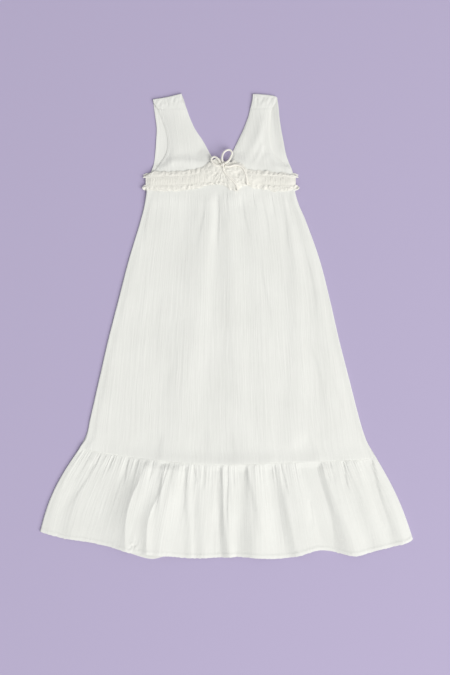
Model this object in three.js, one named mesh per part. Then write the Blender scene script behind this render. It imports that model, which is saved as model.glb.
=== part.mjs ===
// A girl's sleeveless muslin dress, laid flat on its back: a V-neck bodice with wide straps, a shirred
// waist band with a frill along both edges and a drawstring bow, an A-line skirt and a gathered flounce.
// Sizes are in millimetres. +X is to the right of the dress seen from above, +Y towards the shoulders
// and +Z up. The origin is under the middle of the dress, on the surface that it lies on.
import * as THREE from "three";

// Cloth
const CLOTH = 1.2; // wall of the double gauze
const FRILL_CLOTH = 1.5; // wall of a frill, measured upwards, as its waves are steep
const SEAM = 0.3; // gap between two pieces at a seam
const LAYER = 0.4; // gap between two layers that lie on each other

// Levels along the dress, from the middle of its length
const SHOULDER_SEAM_Y = 380; // where the front straps are sewn to the back straps, on the front
const WAIST_Y = 253; // the seam under the band

// Rows of the walls, as shares of a panel's depth: the skirt's from the flounce up, and the straps' from
// the waist to the shoulder seam. They lie close together where the layers step over the band.
const SKIRT_LEVELS = [0, 0.02, 0.15, 0.3, 0.45, 0.6, 0.74, 0.85, 0.92, 0.945, 0.965, 1];
const STRAP_LEVELS = [0, 0.15, 0.22, 0.3, 0.4, 0.52, 0.64, 0.76, 0.88, 1];

// Band
const BAND = { left: -141, right: 121, half: 7, rise: 6, riseAt: -7, riseWide: 62 };
const FRILL_ENDS = { left: -143, right: 123, flare: 3 };
const FRILL_WAVES = 30; // along each frill, front and back
const FRILL_SWELL = { root: 0.5, edge: 3.4 }; // height of a frill's waves at its gathering and at its edge
const CASING_PUFF = { high: 1.6, shirring: 0.7 }; // how far the casing stands up between its gatherings
const BACK_FRILL_DEPTH = { top: 10, bottom: 11, scallop: 1.2 };
const BAND_STEP = { reach: 21, slope: 12 }; // where the layers over the back band come down

// Straps: how the back straps turn over the shoulders
const STRAP_FOLD = { high: 4.4, settle: 16, steps: 4, stepsDown: 3 };
const STRAP_SWELL = { high: 0.8, from: 30, rise: 40 }; // how far the front straps stand up in their middle

// Flounce
const FLOUNCE_GATHERS = 36;
const FLOUNCE_ROWS = 6;
const GATHER_SWELL = 1.7; // height of a small gather at the flounce's seam
const GATHER_FADE = 0.34; // share of the flounce's depth over which the small gathers die away
const FLOUNCE_BULGE = { left: 10, right: 6, reach: 0.2 }; // how far its sides curve out

// Skirt
const SKIRT_COLUMNS = 56;
const SKIRT_FOLD_START = 34; // the length below the band over which the folds rise
const SEAM_RIDGE = 0.7; // how far the turned-up edges lift the skirt just above the flounce
const STRAP_COLUMNS = 8;
const BACK_COLUMNS = 28;

// Drawstring
const CORD_RADIUS = 1.8;
const CORD_SIDES = 8;
const CORD_STEP = 6; // length of one straight stretch of a cord
const BOW_SETTLE = 1.1; // how far the bow sinks in between the frills' crests

// The skirt's side seams
const SKIRT_SIDES = [
  { y: 253, left: -139, right: 118 },
  { y: 224, left: -141, right: 122 },
  { y: 186, left: -150, right: 138 },
  { y: 116, left: -171, right: 163 },
  { y: 46, left: -189, right: 181 },
  { y: -24, left: -207, right: 197 },
  { y: -94, left: -223, right: 215 },
  { y: -164, left: -239, right: 233 },
  { y: -196, left: -246, right: 243 },
  { y: -213, left: -257, right: 251 },
  { y: -228, left: -257, right: 261 },
];

// The seam between the skirt and the flounce
const FLOUNCE_SEAM = [
  { x: -257, y: -213 },
  { x: -193, y: -226 },
  { x: -87, y: -241 },
  { x: 0, y: -247 },
  { x: 90, y: -246 },
  { x: 190, y: -243 },
  { x: 246, y: -238 },
  { x: 261, y: -228 },
];

// The hem: the front's edge, and how far the back's edge lies past it
const HEM = [
  { x: -326, y: -359, past: 0 },
  { x: -284, y: -371, past: -1 },
  { x: -242, y: -377, past: -1 },
  { x: -200, y: -386, past: 0 },
  { x: -172, y: -394, past: 2 },
  { x: -132, y: -399, past: 8 },
  { x: -104, y: -401, past: 1 },
  { x: -60, y: -405, past: -2 },
  { x: 20, y: -403, past: -2 },
  { x: 83, y: -406, past: -2 },
  { x: 122, y: -402, past: -1 },
  { x: 166, y: -391, past: 1 },
  { x: 223, y: -401, past: -2 },
  { x: 262, y: -392, past: -1 },
  { x: 318, y: -378, past: 0 },
  { x: 326, y: -372, past: 0 },
];

// The straps: the back's armhole edge, the front's armhole edge inside it, and the neck edge of both
const LEFT_STRAP = [
  { y: 253, back: -139, front: -137, neck: -8.5 },
  { y: 280, back: -128, front: -119, neck: -17 },
  { y: 303, back: -124.5, front: -105, neck: -29.5 },
  { y: 324, back: -123, front: -103, neck: -41 },
  { y: 345, back: -122, front: -107, neck: -55 },
  { y: 366, back: -124.5, front: -114.5, neck: -64.5 },
  { y: 380, back: -126.5, front: -120, neck: -69.5 },
  { y: 397, back: -128.5, front: -126, neck: -75 },
  { y: 407, back: -129, front: -128, neck: -79 },
];
const RIGHT_STRAP = [
  { y: 253, back: 120, front: 118, neck: -5.5 },
  { y: 275, back: 114, front: 109.5, neck: -2 },
  { y: 289, back: 108, front: 95.5, neck: 3.5 },
  { y: 303, back: 103.5, front: 83, neck: 10 },
  { y: 324, back: 99.5, front: 77.5, neck: 20 },
  { y: 345, back: 95.5, front: 76, neck: 30 },
  { y: 366, back: 92.5, front: 77, neck: 38 },
  { y: 380, back: 91.5, front: 79.5, neck: 41.5 },
  { y: 397, back: 89, front: 84, neck: 45 },
  { y: 407, back: 86, front: 84, neck: 46.5 },
];
const LEFT_TOP = { outer: 397.5, inner: 407.5, round: 1.35 };
const RIGHT_TOP = { outer: 399, inner: 406.8, round: 0.3 };

// Long folds of the skirt: where each crest or trough leaves the waist and where it meets the flounce
const SKIRT_FOLDS = [
  { waist: -139, foot: -257, high: 0, low: 0 },
  { waist: -128, foot: -238, high: 1.3, low: 1.5 },
  { waist: -110, foot: -205, high: 0.8, low: 0.8 },
  { waist: -70, foot: -143, high: 0.4, low: 0.4 },
  { waist: -29, foot: -92, high: 3.2, low: 1.4 },
  { waist: -17, foot: -37, high: 1, low: 0.4 },
  { waist: -3, foot: 41, high: 3.1, low: 1.6 },
  { waist: 18, foot: 58, high: 2, low: 1.2 },
  { waist: 36, foot: 75, high: 2.3, low: 1.3 },
  { waist: 88, foot: 92, high: 0.5, low: 0.5 },
  { waist: 100, foot: 122, high: 1.6, low: 1.3 },
  { waist: 106, foot: 170, high: 0.8, low: 0.5 },
  { waist: 113, foot: 215, high: 1.4, low: 1.6 },
  { waist: 118, foot: 261, high: 0, low: 0 },
];

// Deep folds of the flounce: where each crest or trough leaves the seam and where it meets the hem
const FLOUNCE_FOLDS = [
  { seam: -257, hem: -326, high: 0, low: 0 },
  { seam: -248, hem: -312, high: 1, low: 1.6 },
  { seam: -237, hem: -295, high: 0.7, low: 0.9 },
  { seam: -226, hem: -272, high: 1.3, low: 2.2 },
  { seam: -190, hem: -249, high: 1.8, low: 3.2 },
  { seam: -148, hem: -208, high: 0.4, low: 1 },
  { seam: -136.5, hem: -169, high: 2.8, low: 7.6 },
  { seam: -114, hem: -154, high: 1, low: 3.6 },
  { seam: -102.5, hem: -136, high: 2.4, low: 7 },
  { seam: -95.5, hem: -130.5, high: 1.6, low: 5.6 },
  { seam: -85, hem: -116.5, high: 2.2, low: 6.6 },
  { seam: -74.5, hem: -76, high: 1, low: 2.6 },
  { seam: -65.5, hem: -62, high: 1.4, low: 3.4 },
  { seam: -57, hem: -55, high: 0.9, low: 2.4 },
  { seam: -46.5, hem: -41, high: 1.7, low: 3.6 },
  { seam: -20, hem: -11.5, high: 0.4, low: 0.6 },
  { seam: -10.5, hem: 6, high: 2.3, low: 5.2 },
  { seam: 26.5, hem: 18.5, high: 0.8, low: 2 },
  { seam: 38.5, hem: 53.5, high: 2.7, low: 7.2 },
  { seam: 71, hem: 106, high: 0.6, low: 0.9 },
  { seam: 85, hem: 128.5, high: 2.2, low: 5.6 },
  { seam: 144.5, hem: 186.5, high: 0.4, low: 0.5 },
  { seam: 160, hem: 221.5, high: 2.7, low: 7.6 },
  { seam: 198.5, hem: 254.5, high: 1, low: 2.2 },
  { seam: 209, hem: 272, high: 1.5, low: 3.2 },
  { seam: 235.5, hem: 289.5, high: 0.5, low: 0.8 },
  { seam: 249.5, hem: 310.5, high: 1.5, low: 3 },
  { seam: 261, hem: 326, high: 0, low: 0 },
];

// How far each frill of the front band reaches past the casing, along the band
const FRILL_REACH = [
  { x: -143, top: 5, bottom: 9 },
  { x: -126, top: 11, bottom: 11 },
  { x: -90, top: 9, bottom: 10 },
  { x: -52, top: 11, bottom: 9 },
  { x: -34, top: 17, bottom: 5 },
  { x: -18, top: 27, bottom: 4 },
  { x: -3, top: 22, bottom: 7 },
  { x: 8, top: 22, bottom: 13 },
  { x: 18, top: 21, bottom: 15 },
  { x: 28, top: 16, bottom: 6 },
  { x: 38, top: 9, bottom: 6 },
  { x: 60, top: 10, bottom: 10 },
  { x: 98, top: 7, bottom: 10 },
  { x: 123, top: 5, bottom: 9 },
];

// The bow's knot, and the routes of its loops and free ends; z is above what the bow lies on
const KNOT = { x: -7, y: 281, z: 3.8, wide: 8.6, high: 7 };
const BOW_ROUTES = {
  bow_loop_right: [
    { x: -6.6, y: 285.7, z: 3.9 },
    { x: -7.9, y: 292.5, z: 4.2 },
    { x: -5.3, y: 301.2, z: 2.6 },
    { x: 0, y: 306.2, z: 0.8 },
    { x: 6, y: 307, z: 0 },
    { x: 9.6, y: 302.5, z: 0.4 },
    { x: 7.9, y: 295.5, z: 1.8 },
    { x: 3.8, y: 288.2, z: 2.6 },
    { x: -2.85, y: 283.2, z: 3.2 },
  ],
  bow_loop_left: [
    { x: -10.6, y: 284, z: 3.6 },
    { x: -15.2, y: 291.2, z: 4.2 },
    { x: -21.6, y: 294.6, z: 3.4 },
    { x: -26.4, y: 290.6, z: 2.4 },
    { x: -24, y: 284, z: 2.4 },
    { x: -18, y: 280.6, z: 2.6 },
    { x: -11.5, y: 279.6, z: 3.2 },
  ],
  bow_end_left: [
    { x: -6.2, y: 276.4, z: 3.4 },
    { x: -5, y: 271, z: 2.6 },
    { x: -0.9, y: 264.5, z: 2.2 },
    { x: 6, y: 257.5, z: 2.2 },
    { x: 13, y: 250.5, z: 2.2 },
    { x: 17.4, y: 243.5, z: 2.2 },
    { x: 19.3, y: 236, z: 2.2 },
  ],
  bow_end_right: [
    { x: -2.85, y: 278.8, z: 3.4 },
    { x: 4, y: 277.6, z: 2.6 },
    { x: 13, y: 280.4, z: 2.2 },
    { x: 21.5, y: 280, z: 2.2 },
    { x: 28.5, y: 275, z: 2.2 },
    { x: 32.6, y: 266.5, z: 2.2 },
    { x: 34.6, y: 256.5, z: 2.2 },
    { x: 36, y: 246.5, z: 2.2 },
  ],
};

const clamp = THREE.MathUtils.clamp;
const lerp = THREE.MathUtils.lerp;
const smooth = (t) => THREE.MathUtils.smoothstep(t, 0, 1); // from 0 to 1, and flat beyond

// A smooth curve through a table's rows: one column as a function of another.
function curve(rows, from, to) {
  const x = rows.map((row) => row[from]);
  const y = rows.map((row) => row[to]);
  const last = rows.length - 1;
  const slope = x.map((_, i) => {
    const before = Math.max(i - 1, 0);
    const after = Math.min(i + 1, last);
    return (y[after] - y[before]) / (x[after] - x[before]);
  });
  const rising = x[last] > x[0];
  return (at) => {
    let i = 0;
    while (i < last - 1 && (at > x[i + 1]) === rising) i += 1;
    const step = x[i + 1] - x[i];
    const t = clamp((at - x[i]) / step, 0, 1);
    const bend = (1 - t) * slope[i] * step - t * slope[i + 1] * step;
    const line = (1 - 2 * t) * (y[i + 1] - y[i]);
    return lerp(y[i], y[i + 1], t) + t * (1 - t) * (bend - line);
  };
}

// Height of a run of crests and troughs. `across` and `down` are shares of the panel's width and depth.
function foldsOf(rows, start, end) {
  const widthAt = (key) => rows[rows.length - 1][key] - rows[0][key];
  const from = rows.map((row) => (row[start] - rows[0][start]) / widthAt(start));
  const to = rows.map((row) => (row[end] - rows[0][end]) / widthAt(end));
  return (across, down) => {
    const place = (i) => lerp(from[i], to[i], down);
    const height = (i) => lerp(rows[i].high, rows[i].low, down);
    let i = 0;
    while (i < rows.length - 2 && across > place(i + 1)) i += 1;
    const t = clamp((across - place(i)) / (place(i + 1) - place(i)), 0, 1);
    return lerp(height(i), height(i + 1), smooth(t));
  };
}

// Gathers of uneven length and height: each is four columns of a wall wide.
const COLUMNS_PER_WAVE = 4;
const uneven = (u) => u + (0.005 * Math.sin(31 * u) + 0.002 * Math.sin(73 * u)) * Math.sin(Math.PI * u);
const gathers = (count, u) => {
  const size = 0.8 + 0.2 * Math.sin(57 * u);
  return size * (0.5 - 0.5 * Math.cos(2 * Math.PI * count * u));
};

const bump = (distance, wide) => Math.exp(-((distance / wide) ** 2));

// Outlines
const skirtLeft = curve(SKIRT_SIDES, "y", "left");
const skirtRight = curve(SKIRT_SIDES, "y", "right");
const seamY = curve(FLOUNCE_SEAM, "x", "y");
const hemY = curve(HEM, "x", "y");
const hemPast = curve(HEM, "x", "past");
const frillTop = curve(FRILL_REACH, "x", "top");
const frillBottom = curve(FRILL_REACH, "x", "bottom");
const skirtFolds = foldsOf(SKIRT_FOLDS, "waist", "foot");
const flounceFolds = foldsOf(FLOUNCE_FOLDS, "seam", "hem");
const SEAM_LEFT = FLOUNCE_SEAM[0].x;
const SEAM_RIGHT = FLOUNCE_SEAM[FLOUNCE_SEAM.length - 1].x;
const HEM_LEFT = HEM[0].x;
const HEM_RIGHT = HEM[HEM.length - 1].x;

const bandY = (x) => WAIST_Y + BAND.rise * bump(x - BAND.riseAt, BAND.riseWide);

// Heights of the layers. The back band lies on the surface, and all else lies over it.
const bandLift = (x, y) => {
  const past = Math.abs(y - bandY(x)) - BAND_STEP.reach;
  return (FRILL_CLOTH + LAYER) * (1 - smooth(past / BAND_STEP.slope));
};
const frontUnder = (x, y) => bandLift(x, y) + CLOTH + LAYER;

// A closed wall between two grids of points. Its top faces up where u runs along +X and v along +Y.
function wall(columns, rows, top, under) {
  const positions = [];
  const index = [];
  const across = columns + 1;
  const below = across * (rows + 1);
  for (const face of [top, under]) {
    for (let j = 0; j <= rows; j += 1) {
      for (let i = 0; i <= columns; i += 1) positions.push(...face(i / columns, j / rows));
    }
  }
  const quad = (a, b, c, d) => index.push(a, b, c, a, c, d);
  for (let j = 0; j < rows; j += 1) {
    for (let i = 0; i < columns; i += 1) {
      const a = j * across + i;
      const b = below + a;
      quad(a, a + 1, a + 1 + across, a + across);
      quad(b, b + across, b + across + 1, b + 1);
    }
    const left = j * across;
    const right = left + columns;
    quad(left, left + across, below + left + across, below + left);
    quad(right, below + right, below + right + across, right + across);
  }
  for (let i = 0; i < columns; i += 1) {
    const end = rows * across + i;
    quad(below + i, below + i + 1, i + 1, i);
    quad(end, end + 1, below + end + 1, below + end);
  }
  const geometry = new THREE.BufferGeometry();
  geometry.setAttribute("position", new THREE.Float32BufferAttribute(positions, 3));
  geometry.setIndex(index);
  geometry.computeVertexNormals();
  return geometry;
}

// A wall of one thickness over a plan outline: plan(u, v) gives x and y, underside(x, y, u, v) the height.
function layer(columns, rows, plan, underside, thick = CLOTH) {
  const face = (lift) => (u, v) => {
    const [x, y] = plan(u, v);
    return [x, y, underside(x, y, u, v) + lift];
  };
  return wall(columns, rows, face(thick), face(0));
}

// The skirt: u runs from the left side seam to the right one, v from the flounce up to the waist.
const skirtRow = (v) => SKIRT_LEVELS[Math.round(v * (SKIRT_LEVELS.length - 1))];

function skirtPlan(u, v) {
  const seamX = lerp(SEAM_LEFT, SEAM_RIGHT, u);
  const y = lerp(seamY(seamX) + SEAM / 2, WAIST_Y - SEAM / 2, skirtRow(v));
  return [lerp(skirtLeft(y), skirtRight(y), u), y];
}

function skirtBack() {
  return layer(BACK_COLUMNS, SKIRT_LEVELS.length - 1, skirtPlan, bandLift);
}

function skirtFront() {
  const underside = (x, y, u, v) => {
    const belowBand = smooth((WAIST_Y - BAND_STEP.reach - y) / SKIRT_FOLD_START);
    const seamRidge = v === 0 ? SEAM_RIDGE : 0;
    return frontUnder(x, y) + belowBand * skirtFolds(u, 1 - skirtRow(v)) + seamRidge;
  };
  return layer(SKIRT_COLUMNS, SKIRT_LEVELS.length - 1, skirtPlan, underside);
}

// The flounce: u runs from its left side seam to its right one, v from the hem up to the skirt.
function flouncePlan(hem, spread = (u) => u) {
  return (u, v) => {
    const across = spread(u);
    const down = 1 - v;
    const seamX = lerp(SEAM_LEFT, SEAM_RIGHT, across);
    const hemX = lerp(HEM_LEFT, HEM_RIGHT, across);
    const leftOut = FLOUNCE_BULGE.left * smooth(1 - across / FLOUNCE_BULGE.reach);
    const rightOut = FLOUNCE_BULGE.right * smooth(1 - (1 - across) / FLOUNCE_BULGE.reach);
    const x = lerp(seamX, hemX, down) + Math.sin(Math.PI * down) * (rightOut - leftOut);
    return [x, lerp(seamY(seamX) - SEAM / 2, hem(hemX), down)];
  };
}

function flounceBack() {
  return layer(BACK_COLUMNS, 3, flouncePlan((x) => hemY(x) - hemPast(x)), () => 0);
}

function flounceFront() {
  const underside = (x, y, u, v) => {
    const down = 1 - v;
    const small = GATHER_SWELL * Math.exp(-down / GATHER_FADE) * gathers(FLOUNCE_GATHERS, u);
    return frontUnder(x, y) + small + flounceFolds(uneven(u), down);
  };
  return layer(FLOUNCE_GATHERS * COLUMNS_PER_WAVE, FLOUNCE_ROWS, flouncePlan(hemY, uneven), underside);
}

// The straps. u runs from left to right, v from the waist up to the shoulder.
const neckIsRight = (rows) => rows[0].neck > rows[0].back;

function strapSides(rows, side) {
  const neck = curve(rows, "y", "neck");
  const armhole = curve(rows, "y", side);
  return neckIsRight(rows) ? [armhole, neck] : [neck, armhole];
}

function strapTop(rows, top) {
  const inwards = (u) => (neckIsRight(rows) ? u : 1 - u);
  return (u) => lerp(top.outer, top.inner, inwards(u) ** top.round);
}

const strapY = (row) => lerp(WAIST_Y + SEAM / 2, SHOULDER_SEAM_Y - SEAM / 2, STRAP_LEVELS[row]);

const strapSwell = (y, u) => {
  const aboveBand = smooth((y - WAIST_Y - STRAP_SWELL.from) / STRAP_SWELL.rise);
  return STRAP_SWELL.high * Math.sin(Math.PI * u) ** 2 * aboveBand;
};

const strapLoft = (y) => {
  const near = (y - SHOULDER_SEAM_Y + STRAP_FOLD.settle) / (2 * STRAP_FOLD.settle);
  return (STRAP_FOLD.high - 2 * CLOTH - LAYER) * smooth(near);
};

function bodiceFront(rows) {
  const [left, right] = strapSides(rows, "front");
  const last = STRAP_LEVELS.length - 1;
  const plan = (u, v) => {
    const y = strapY(Math.round(v * last));
    return [lerp(left(y), right(y), u), y];
  };
  const underside = (x, y, u) => frontUnder(x, y) + strapLoft(y) + strapSwell(y, u);
  return layer(STRAP_COLUMNS, last, plan, underside);
}

// The back strap runs up from the waist, turns over the shoulder and comes down to the seam on the front.
function bodiceBack(rows, top) {
  const [left, right] = strapSides(rows, "back");
  const [overLeft, overRight] = strapSides(rows, "front");
  const topY = strapTop(rows, top);
  const radius = STRAP_FOLD.high / 2;
  const seamRow = STRAP_LEVELS.length - 1;
  const foldRow = seamRow + 2;
  const turnedRow = foldRow + STRAP_FOLD.steps;
  const lastRow = turnedRow + STRAP_FOLD.stepsDown;
  const lying = (u, row, inset) => {
    const foldY = topY(u) - radius;
    const y = lerp(strapY(Math.min(row, seamRow)), foldY, clamp(row - seamRow, 0, 2) / 2);
    const x = lerp(left(y), right(y), u);
    return [x, y, bandLift(x, y) + inset];
  };
  const turning = (u, row, inset) => {
    const foldY = topY(u) - radius;
    const angle = (Math.PI * (row - foldRow)) / STRAP_FOLD.steps;
    const reach = radius - inset;
    const x = lerp(left(foldY), right(foldY), u);
    return [x, foldY + reach * Math.sin(angle), radius - reach * Math.cos(angle)];
  };
  const returning = (u, row, inset) => {
    const foldY = topY(u) - radius;
    const down = (row - turnedRow) / STRAP_FOLD.stepsDown;
    const y = lerp(foldY, SHOULDER_SEAM_Y + SEAM / 2, down);
    const fromX = lerp(left(foldY), right(foldY), u);
    const toX = lerp(overLeft(y), overRight(y), u);
    const under = CLOTH + LAYER + strapLoft(y) + down * strapSwell(y, u);
    return [lerp(fromX, toX, down), y, under + CLOTH - inset];
  };
  const point = (u, v, inset) => {
    const row = Math.round(v * lastRow);
    if (row <= foldRow) return lying(u, row, inset);
    if (row <= turnedRow) return turning(u, row, inset);
    return returning(u, row, inset);
  };
  return wall(STRAP_COLUMNS, lastRow, (u, v) => point(u, v, CLOTH), (u, v) => point(u, v, 0));
}

// The band. Its front lies over the waist seam on the front panels, and its back lies on the surface.
const bandFloor = FRILL_CLOTH + LAYER + 2 * (CLOTH + LAYER);

function casingPlan(u, v) {
  const x = lerp(BAND.left, BAND.right, u);
  return [x, bandY(x) + lerp(-BAND.half, BAND.half, v)];
}

function casingFront() {
  const puff = (x, y, u, v) => {
    const high = CASING_PUFF.high + CASING_PUFF.shirring * Math.cos(2 * Math.PI * FRILL_WAVES * u);
    return bandFloor + high * Math.sin(Math.PI * v);
  };
  return layer(FRILL_WAVES * 2, 2, casingPlan, puff);
}

function casingBack() {
  return layer(BACK_COLUMNS, 1, casingPlan, () => 0, FRILL_CLOTH);
}

// A frill: side is 1 above the casing and -1 below it. Share 0 is at its gathering and 1 at its free edge.
function frill(side, reach, columns, swell) {
  const shareOf = (v) => (side > 0 ? v : 1 - v);
  const plan = (u, v) => {
    const share = shareOf(v);
    const across = uneven(u);
    const x = lerp(FRILL_ENDS.left, FRILL_ENDS.right, across);
    const flare = FRILL_ENDS.flare * share * (2 * across - 1) ** 9;
    return [x + flare, bandY(x) + side * (BAND.half + SEAM + share * reach(x, u))];
  };
  return layer(columns, 1, plan, (x, y, u, v) => swell(u, shareOf(v)), FRILL_CLOTH);
}

function frillFront(side, reach) {
  const swell = (u, share) => {
    const high = lerp(FRILL_SWELL.root, FRILL_SWELL.edge, share);
    return bandFloor + high * gathers(FRILL_WAVES, u);
  };
  return frill(side, reach, FRILL_WAVES * COLUMNS_PER_WAVE, swell);
}

function frillBack(side, depth) {
  const reach = (x, u) => depth + BACK_FRILL_DEPTH.scallop * gathers(FRILL_WAVES, u);
  return frill(side, reach, FRILL_WAVES * 2, () => 0);
}

// The bow lies on the crests of the front frills.
const bowFloor = bandFloor + FRILL_SWELL.edge + FRILL_CLOTH - BOW_SETTLE;

function cord(route) {
  const path = new THREE.CatmullRomCurve3(
    route.map((point) => new THREE.Vector3(point.x, point.y, bowFloor + point.z)),
  );
  const section = new THREE.Shape();
  section.absarc(0, 0, CORD_RADIUS, 0, 2 * Math.PI);
  return new THREE.ExtrudeGeometry(section, {
    steps: Math.round(path.getLength() / CORD_STEP),
    curveSegments: CORD_SIDES / 2,
    extrudePath: path,
  });
}

function knot() {
  const ball = new THREE.SphereGeometry(0.5, 12, 8);
  ball.scale(KNOT.wide, KNOT.wide, KNOT.high);
  return ball.translate(KNOT.x, KNOT.y, bowFloor + KNOT.z);
}

const muslin = new THREE.MeshStandardMaterial({ color: 0xe9eae4, roughness: 0.95, metalness: 0 });
const cream = new THREE.MeshStandardMaterial({ color: 0xece8db, roughness: 0.95, metalness: 0 });

const dress = new THREE.Group();
function sew(name, geometry, material) {
  const piece = new THREE.Mesh(geometry, material);
  piece.name = name;
  dress.add(piece);
}

sew("skirt_back", skirtBack(), muslin);
sew("skirt_front", skirtFront(), muslin);
sew("flounce_back", flounceBack(), muslin);
sew("flounce_front", flounceFront(), muslin);
sew("bodice_back_left", bodiceBack(LEFT_STRAP, LEFT_TOP), muslin);
sew("bodice_back_right", bodiceBack(RIGHT_STRAP, RIGHT_TOP), muslin);
sew("bodice_front_left", bodiceFront(LEFT_STRAP), muslin);
sew("bodice_front_right", bodiceFront(RIGHT_STRAP), muslin);
sew("band_casing_front", casingFront(), cream);
sew("frill_top_front", frillFront(1, frillTop), cream);
sew("frill_bottom_front", frillFront(-1, frillBottom), cream);
sew("band_casing_back", casingBack(), cream);
sew("frill_top_back", frillBack(1, BACK_FRILL_DEPTH.top), cream);
sew("frill_bottom_back", frillBack(-1, BACK_FRILL_DEPTH.bottom), cream);
sew("bow_knot", knot(), cream);
for (const [name, route] of Object.entries(BOW_ROUTES)) sew(name, cord(route), cream);

export default dress;
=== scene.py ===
import math

import bpy
import numpy as np
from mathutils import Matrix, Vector


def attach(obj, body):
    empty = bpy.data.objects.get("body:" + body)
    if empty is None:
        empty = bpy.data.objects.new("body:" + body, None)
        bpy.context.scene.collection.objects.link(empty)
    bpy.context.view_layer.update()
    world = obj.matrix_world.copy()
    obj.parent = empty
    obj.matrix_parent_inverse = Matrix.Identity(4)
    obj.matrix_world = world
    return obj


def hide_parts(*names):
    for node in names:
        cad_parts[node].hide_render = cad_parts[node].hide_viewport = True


# A girl's sleeveless muslin dress, laid flat on its back and seen from straight above. The cloth pieces are
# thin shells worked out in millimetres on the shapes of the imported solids, and written in metres.

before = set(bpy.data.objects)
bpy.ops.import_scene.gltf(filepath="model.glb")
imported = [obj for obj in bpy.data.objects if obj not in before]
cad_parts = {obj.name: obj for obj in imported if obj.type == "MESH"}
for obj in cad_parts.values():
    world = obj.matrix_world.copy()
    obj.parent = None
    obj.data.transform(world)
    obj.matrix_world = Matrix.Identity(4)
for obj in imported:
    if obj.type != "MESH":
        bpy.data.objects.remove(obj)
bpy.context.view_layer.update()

MM = 0.001
SHELL = 0.8  # thickness of the double gauze
CLOTH = 1.2  # thickness of the solids' walls
FRILL_CLOTH = 1.5
SEAM = 0.3  # gap between sewn pieces
LAYER = 0.4  # gap between layers that lie on each other

SHOULDER_SEAM_Y = 380
WAIST_Y = 253
BAND = {"left": -141, "right": 121, "half": 7, "rise": 6, "rise_at": -7, "rise_wide": 62}
BAND_STEP = {"reach": 21, "slope": 12, "tent": 32}
FREE_EDGE = {"tent": 22, "mound": 8}  # how far in from a free edge a panel is pushed up in full
UNDER_FRILLS = {"wide": 16, "over": 10}  # the panels' stretch that the frills cover and press flat
FRILL_ENDS = {"left": -143, "right": 123, "flare": 3, "curl": 4.5}
FRILL_WAVES = 30
FRILL_WAVE_HIGH = 3.4  # height of the solids' waves at a frill's edge
BAND_EDGE = 1.5  # height of the casing's edges above its floor
BAND_END = {"drop": 1.8, "reach": 11}
FRILL_SWELL = {"high": 1.4, "turn": 0.8}
FRILL_CURLS = [(-142, 239), (122.5, 242.5)]  # where the lower frill's ends curl up
CURL = {"radius": 3.8, "wide": 1.6, "high": 1.2, "deep": 2.5, "hole": 2}
ARMHOLE_CURL = {"left": 0.8, "right": 2.2, "wide": 15}
STRAP_FOLD = {"high": 4.4, "settle": 16}
STRAP_SWELL = {"high": 0.8, "from": 30, "over": 40}
TURNED_EDGE = {"wide": 5.4, "stitches": 4.6, "high": 0.15}
EDGE_EASE = {"left": 15, "right": 7, "drop": 1.35}
GRAIN = {"skirt": 430, "flounce": 700, "strap": 160}  # how far the gauze's crinkles are spread over a piece
SKIRT_DEPTH = 490
FLOUNCE_WIDE = 560  # about its width as it lies
FLOUNCE_GATHERS = 36
FLOUNCE_DEPTH = 155
SEAM_RIDGE = {"middle": 10, "half": 185, "slope": 55, "low": 0.5, "rise": 1.7}
HEM_ROLL = {"wide": 4.8, "high": 0.65}
FLOUNCE_BULGE = {"left": 10, "right": 6, "reach": 0.2}
BOWED = {"x": -150, "wide": 36, "by": 0.024}  # how far the folds there bow to the left, as a share
CRUMPLE = {"x": -162, "y": -380, "wide": 9, "high": 1.6}
CORD_RADIUS = 1.8
BOW_SETTLE = 1.1

# Where the drawstring bunches the frills and the cloth below them
MOUND = {"high": 2.8, "level": 4, "slope": 24, "cloth": 2.8, "edge": 15, "fall": 0.52}
LOOP_MOUND = {"x": -22, "y": 289, "wide": 12, "less": 0.34}  # its edge falls less beside the left loop
BUNCHING = {"below": 8, "wide": 32, "knot": 9}
PRESSED_END = {"x": -75, "over": 45, "depth": 0.6}  # the band's left end, where its ruffles are shallow

# The photograph's view
MM_PER_PIXEL = 1.75
IMAGE_HIGH = 675
VIEW_CENTRE = (-2.6, -19.7)
LENS = 60
SENSOR = 36


def columns(names, rows):
    """A table with named columns."""
    return dict(zip(names.split(), np.array(rows, float).T))


SKIRT_SIDES = columns("y left right", [
    (253, -139, 118), (224, -141, 122), (186, -150, 138), (116, -171, 163), (46, -189, 181),
    (-24, -207, 197), (-94, -223, 215), (-164, -239, 233), (-196, -246, 243), (-213, -257, 251),
    (-228, -257, 261),
])
FLOUNCE_SEAM = columns("x y", [
    (-257, -213), (-193, -224.5), (-87, -237.5), (0, -242), (90, -238.5), (190, -235), (246, -232),
    (261, -228),
])
HEM = columns("x y past", [
    (-326, -359, 0), (-284, -371, -1), (-242, -377, -1), (-200, -386, 0), (-172, -394, 2),
    (-132, -399, 8), (-104, -401, 1), (-60, -405, -2), (20, -403, -2), (83, -406, -2),
    (122, -402, -1), (166, -391, 1), (223, -401, -2), (262, -392, -1), (318, -378, 0),
    (326, -372, 0),
])
LEFT_STRAP = columns("y back front neck", [
    (253, -139, -137, -8.5), (280, -128, -119, -17), (303, -124.5, -105, -29.5),
    (324, -123, -103, -41), (345, -122, -107, -55), (366, -124.5, -114.5, -64.5),
    (380, -126.5, -120, -69.5), (397, -128.5, -126, -75), (407, -129, -128, -79),
])
RIGHT_STRAP = columns("y back front neck", [
    (253, 120, 118, -5.5), (275, 114, 109.5, -2), (289, 108, 95.5, 3.5), (303, 103.5, 83, 10),
    (324, 99.5, 77.5, 20), (345, 95.5, 76, 30), (366, 92.5, 77, 38), (380, 91.5, 79.5, 41.5),
    (397, 89, 84, 45), (407, 86, 84, 46.5),
])
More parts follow.
